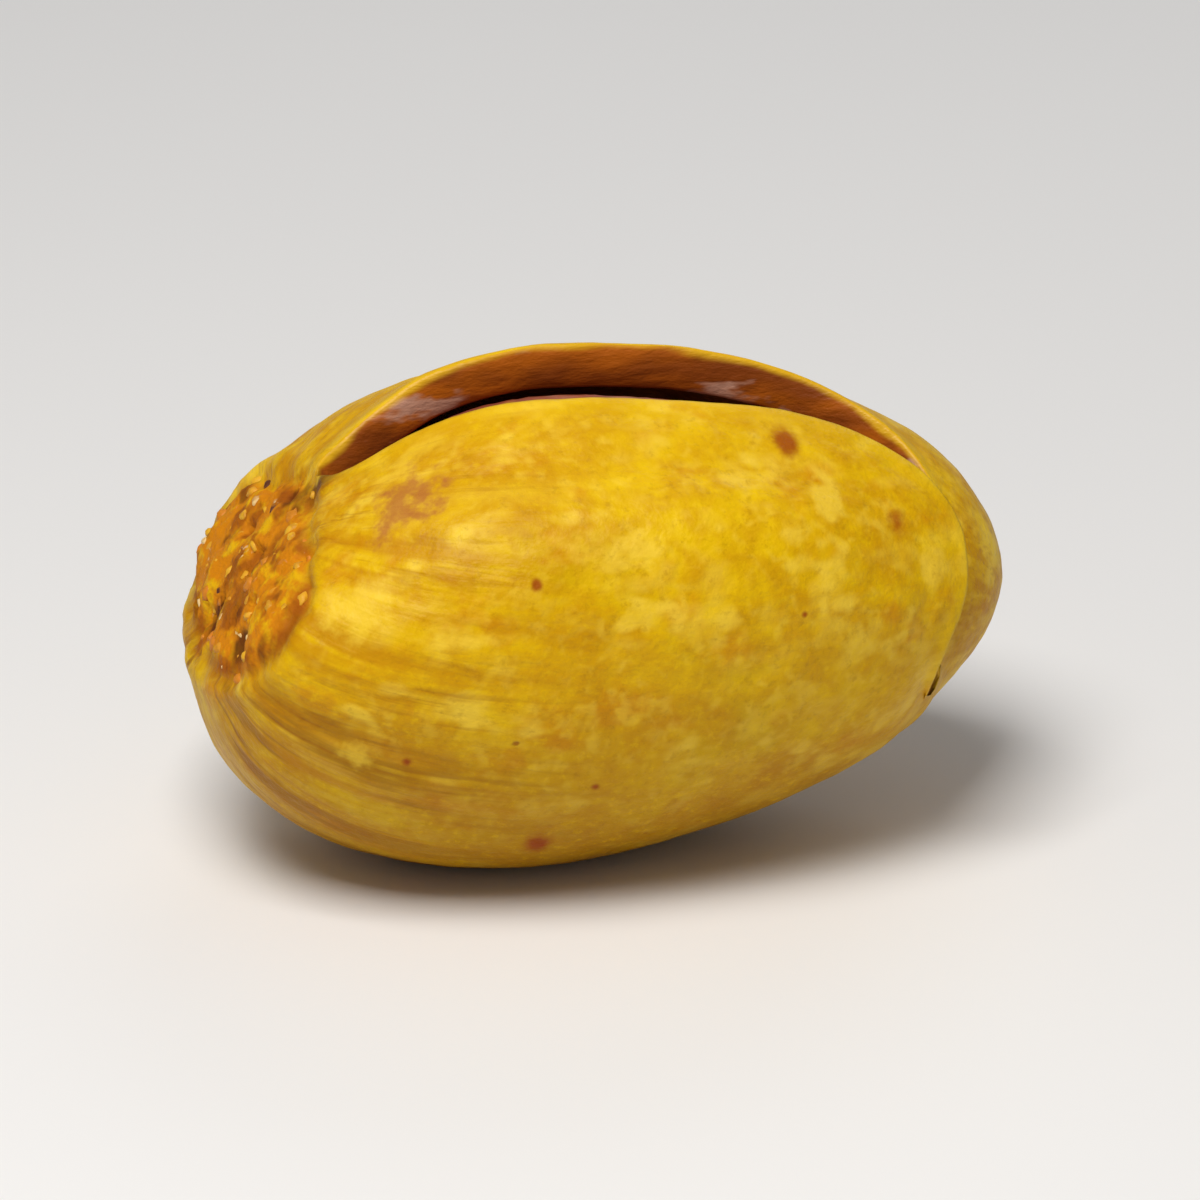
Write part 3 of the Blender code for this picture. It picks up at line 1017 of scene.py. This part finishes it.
def kernel_tree():
    tree, given, result = new_tree(
        "grow kernel",
        "GeometryNodeTree",
        {"Points": ("Int", 9), **NUT_SIZES, "Skin": ("Material", None)},
        {"Mesh": ("Geometry", None)},
    )
    ball = ball_of_squares(tree, given["Points"])
    direction = named(tree, "direction", "FLOAT_VECTOR")
    _, aside, up = parts(tree, direction)
    x, y, z = parts(tree, outlined(tree, direction, given)[0])
    narrowed = y * (1 - up.at_least(0.0) ** 2 * RIDGE)
    body = move_points(tree, ball, Position=together(tree, x, narrowed, z))
    here = point_places(tree)
    normal = add(tree, "GeometryNodeInputNormal").outputs[0]
    mesh = store(tree, body, "tube", round_and_along(tree, here), "FLOAT_VECTOR")
    tube = named(tree, "tube", "FLOAT_VECTOR")
    long_folds = (fibres(tree, tube, 26, 1.9, 3.0) - 0.5).size() * 2
    short_folds = (noise(tree, here, 620, 3.0, 0.6, 0.6) - 0.5).size() * 2
    folds = long_folds.at_most(0.5) * WRINKLE + short_folds.at_most(0.45) * CREASE
    sunk = aside.hill(0.07) * FURROW
    height = folds - sunk - (WRINKLE + CREASE) * 0.3
    mesh = store(tree, mesh, "fold", long_folds * 0.7 + short_folds * 0.5)
    mesh = store(tree, mesh, "furrow", aside.hill(0.07))
    mesh = move_points(tree, mesh, Offset=vectors(tree, "SCALE", normal, scale=height))
    mesh = move_points(tree, mesh, Offset=KERNEL_MIDDLE)
    whole = add(tree, "GeometryNodeRealizeInstances", {"Geometry": mesh})
    smooth = add(tree, "GeometryNodeSetShadeSmooth", {"Geometry": whole.outputs[0], "Shade Smooth": True})
    skin = add(tree, "GeometryNodeSetMaterial", {"Geometry": smooth.outputs[0], "Material": given["Skin"]})
    plug(tree, skin.outputs[0], result["Mesh"])
    return tree


kernel_grower = kernel_tree()
print("the kernel's tree holds", len(kernel_grower.nodes), "nodes")

# %% [markdown]
# The skin is papery: red-brown on the ridges, greyish pink where it lifts, with a little green of the
# flesh and yellow of the dye showing through. The creases of its folds and the furrow are darkened with
# painted shade, dark purple-brown. A low sheen suits thin dry skin.

# %% Kernel skin
RED_SKIN = rgb(152, 74, 44)
PURPLE_SKIN = rgb(112, 48, 40)
FOLD_PINK = rgb(196, 132, 104)
# painted shade in the creases of the wrinkles
FOLD_PAINTED_SHADE = rgb(74, 34, 34)
FLESH_GREEN = rgb(120, 104, 40)
LIFTED_PINK = rgb(206, 160, 132)
DYE_YELLOW = rgb(214, 150, 24)
# painted shade in the furrow
FURROW_PAINTED_SHADE = rgb(60, 28, 26)


def skin_material():
    material, tree, surface, place = new_material("kernel_skin", 0.48)
    tube = stored(tree, "tube", vector=True)
    streaks = pattern(tree, fibre_streaks, Place=tube, Count=46.0, Stretch=3.0)
    dye = pattern(tree, mottle, Place=place, Cloud_Scale=380.0, Patch_Scale=1000.0)
    fold = stored(tree, "fold")
    cloud = cloudy(tree, place)
    colour = coats(
        tree,
        RED_SKIN,
        (PURPLE_SKIN, dye["Clouds"]),
        (FOLD_PINK, fold.step(0.35, 0.75) * 0.55),
        # painted shade: the creases between the wrinkles are darkened
        (FOLD_PAINTED_SHADE, fold.step(0.22, 0.04) * 0.7),
        (FLESH_GREEN, cloud(260).step(0.56, 0.70) * 0.45),
        (LIFTED_PINK, dye["Patches"] * 0.55),
        (DYE_YELLOW, cloud(420).step(0.60, 0.72) * 0.5),
        # painted shade: the furrow between the seed leaves is darkened
        (FURROW_PAINTED_SHADE, stored(tree, "furrow") * 0.6),
    )
    plug(tree, colour, surface.inputs["Base Color"])
    plug(tree, 0.38 + cloud(800) * 0.25, surface.inputs["Roughness"])
    bump(tree, surface, streaks["Threads"] + cloud(2000, 3.0) * 0.5, 0.07 * MM)
    return material


skin = skin_material()
kernel = laid_down(
    grow(
        "kernel_grown",
        kernel_grower,
        {"Points": 73, **nut_sizes(15.4, 9.2, 10.0, 6.2), "Skin": skin},
    )
)
kernel.data.transform(TO_TABLE)
tidy_normals(kernel)

# %% [markdown]
# ## Crumbs on the scar
#
# Where the stem broke off, corky crumbs cling to the scar. They stand proud of it and throw small shadows,
# so they are real grains, scattered only where the scar is. A few dozen faces each are enough at this
# size. Each grain remembers a random tone, so one material can colour them all differently.

# %% Scattering grains
DENSE = 6e6  # grains to a square metre, before those that lie too close are dropped


def wobble(tree, place, scale):
    """A small random push in all three directions."""
    node = add(tree, "ShaderNodeTexNoise", {"Vector": place, "Scale": scale, "Detail": 1.0})
    return vectors(tree, "SUBTRACT", node.outputs["Color"], (0.5, 0.5, 0.5))


def scatter_tree(name, grain_of):
    """Grains of one kind on the parts of a surface where a stored value is high."""
    number = ("Float", 0.001)
    tree, given, result = new_tree(
        name,
        "GeometryNodeTree",
        {"Ground": ("Object", None), "Where": ("String", ""), "Apart": number, "Smallest": number,
         "Largest": number, "Sunk": number, "Seed": ("Int", 1), "Material": ("Material", None)},
        {"Mesh": ("Geometry", None)},
    )
    ground = add(tree, "GeometryNodeObjectInfo", {"Object": given["Ground"]}).outputs["Geometry"]
    where = add(tree, "GeometryNodeInputNamedAttribute", {"Name": given["Where"]}, data_type="FLOAT")
    strew = {"Mesh": ground, "Distance Min": given["Apart"], "Density Max": DENSE,
             "Density Factor": where.outputs[0], "Seed": given["Seed"]}
    points = add(tree, "GeometryNodeDistributePointsOnFaces", strew, distribute_method="POISSON")
    spans = {"Min": given["Smallest"], "Max": given["Largest"], "Seed": given["Seed"]}
    size = Number(tree, add(tree, "FunctionNodeRandomValue", spans, data_type="FLOAT").outputs["Value"])
    uneven = {"Min": (0.6, 0.6, 0.4), "Max": (1.2, 1.2, 0.9), "Seed": given["Seed"]}
    shape = add(tree, "FunctionNodeRandomValue", uneven, data_type="FLOAT_VECTOR").outputs["Value"]
    turn = {"Min": (0.0, 0.0, 0.0), "Max": (0.0, 0.0, 2 * math.pi), "Seed": given["Seed"]}
    spin = add(tree, "FunctionNodeRandomValue", turn, data_type="FLOAT_VECTOR").outputs["Value"]
    facing = {"Rotation": points.outputs["Rotation"]}
    spun = add(tree, "FunctionNodeRotateEuler", facing, rotation_type="EULER", space="LOCAL")
    plug(tree, spin, spun.inputs["Rotate By"])
    sunk = vectors(tree, "SCALE", points.outputs["Normal"], scale=Number(tree, given["Sunk"]) * -1)
    lowered = move_points(tree, points.outputs["Points"], Offset=sunk)
    placed = {"Points": lowered, "Instance": grain_of(tree), "Rotation": spun.outputs[0],
              "Scale": vectors(tree, "SCALE", shape, scale=size)}
    grains = add(tree, "GeometryNodeInstanceOnPoints", placed).outputs[0]
    luck = add(tree, "FunctionNodeRandomValue", {"Seed": 5}, data_type="FLOAT").outputs["Value"]
    grains = store(tree, grains, "tone", luck, domain="INSTANCE")
    whole = add(tree, "GeometryNodeRealizeInstances", {"Geometry": grains}).outputs[0]
    here = point_places(tree)
    shake = vectors(tree, "SCALE", wobble(tree, here, 5200), scale=Number(tree, given["Largest"]) * 0.9)
    rough = move_points(tree, whole, Offset=shake)
    smooth = add(tree, "GeometryNodeSetShadeSmooth", {"Geometry": rough, "Shade Smooth": True})
    finish = {"Geometry": smooth.outputs[0], "Material": given["Material"]}
    plug(tree, add(tree, "GeometryNodeSetMaterial", finish).outputs[0], result["Mesh"])
    return tree


def crumb(tree):
    return add(tree, "GeometryNodeMeshIcoSphere", {"Radius": 1.0, "Subdivisions": 2}).outputs["Mesh"]


# %% [markdown]
# The crumbs are corky orange, with a few pale and a few dark ones among them.

# %% Scar crumbs
CRUMB_ORANGE = rgb(206, 124, 6)
CRUMB_YELLOW = rgb(226, 170, 24)


def crumb_material():
    material, tree, surface, place = new_material("scar_crumbs", 0.6)
    tone = stored(tree, "tone")
    colour = coats(
        tree,
        CRUMB_ORANGE,
        (CRUMB_YELLOW, tone.step(0.2, 0.7)),
        (PALE_CRUMB, tone.above(0.92) * 0.7),
        (PIT_BROWN, (0.07 - tone).above(0.0)),
        (DEEP_GOLD, noise(tree, place, 3000).step(0.50, 0.62) * 0.6),
    )
    plug(tree, colour, surface.inputs["Base Color"])
    bump(tree, surface, noise(tree, place, 6000, 3.0), 0.04 * MM)
    return material


crumbs = grow(
    "scar_crumbs",
    scatter_tree("strew crumbs", crumb),
    {"Ground": shell, "Where": "scar", "Apart": 0.40 * MM, "Smallest": 0.06 * MM, "Largest": 0.23 * MM,
     "Sunk": 0.07 * MM, "Seed": 4, "Material": crumb_material()},
)

# %% [markdown]
# ## The table, the light and the camera
#
# The nut lies on a plain pale table under a big soft lamp, as in a small photo studio. The lamp stands
# high and to the left, so that the cheek is bright and the underside rolls into shade. The camera looks
# down by 22 degrees, with the stem end turned a little towards it, through a long lens.

# %% Table
def table():
    side = 60 * length
    sheet = bmesh.new()
    bmesh.ops.create_grid(sheet, x_segments=1, y_segments=1, size=side / 2)
    mesh = bpy.data.meshes.new("table")
    sheet.to_mesh(mesh)
    sheet.free()
    piece = bpy.data.objects.new("table", mesh)
    bpy.context.scene.collection.objects.link(piece)
    material, tree, surface, place = new_material("pale_table", 0.7)
    colour = coat(tree, rgb(232, 232, 233), rgb(238, 238, 238), noise(tree, place, 12, 3.0))
    plug(tree, colour, surface.inputs["Base Color"])
    mesh.materials.append(material)
    return piece


floor = table()
print("the table is", round(60 * length, 2), "m wide")

# %% Lamps
middle = (cad_low + cad_high) / 2


def lamp(name, towards, distance, size, power, colour=(1.0, 1.0, 1.0)):
    """A square soft lamp that looks at the nut from the given direction."""
    light = bpy.data.lights.new(name, "AREA")
    light.size = size
    light.energy = power
    light.color = colour
    piece = bpy.data.objects.new(name, light)
    piece.location = middle + Vector(towards).normalized() * distance
    piece.rotation_euler = Vector(towards).to_track_quat("Z", "Y").to_euler()
    bpy.context.scene.collection.objects.link(piece)
    return piece


lamp("key", (-0.30, -0.40, 1.0), 9 * length, 4.5 * length, 0.33, (1.0, 0.97, 0.93))
lamp("rim", (0.5, 0.9, 0.6), 10 * length, 5 * length, 0.04)
world = bpy.data.worlds.new("studio")
world.use_nodes = True
world.node_tree.nodes["Background"].inputs["Color"].default_value = (0.86, 0.87, 0.88, 1.0)
world.node_tree.nodes["Background"].inputs["Strength"].default_value = 0.22
bpy.context.scene.world = world
bpy.context.scene.view_settings.view_transform = "Standard"
print("two lamps and a pale room")

# %% Camera
AZIMUTH = math.radians(-13)
ELEVATION = math.radians(22)
LENS = 300.0
SHARE_OF_FRAME = 0.70

camera_data = bpy.data.cameras.new("camera")
camera_data.lens = LENS
camera = bpy.data.objects.new("camera", camera_data)
bpy.context.scene.collection.objects.link(camera)
back = Vector(
    (math.sin(AZIMUTH) * math.cos(ELEVATION), -math.cos(AZIMUTH) * math.cos(ELEVATION), math.sin(ELEVATION))
)
distance = length / SHARE_OF_FRAME * LENS / camera_data.sensor_width
camera.location = middle + back * distance
camera.rotation_euler = back.to_track_quat("Z", "Y").to_euler()
camera_data.clip_start = distance / 100
camera_data.clip_end = distance * 100
bpy.context.scene.camera = camera
print("the camera stands", round(distance, 3), "m away")

# %% [markdown]
# ## Tying the pieces to the frame
#
# Every piece is tied to the imported model: what it moves with, and which imported piece it stands for.

# %% Ties to the frame
for piece, node, finish in (
    (shell, "shell", "shell"),
    (kernel, "kernel", "kernel_skin"),
    (crumbs, None, "shell"),
):
    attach(piece, "root")
    if node:
        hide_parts(node)
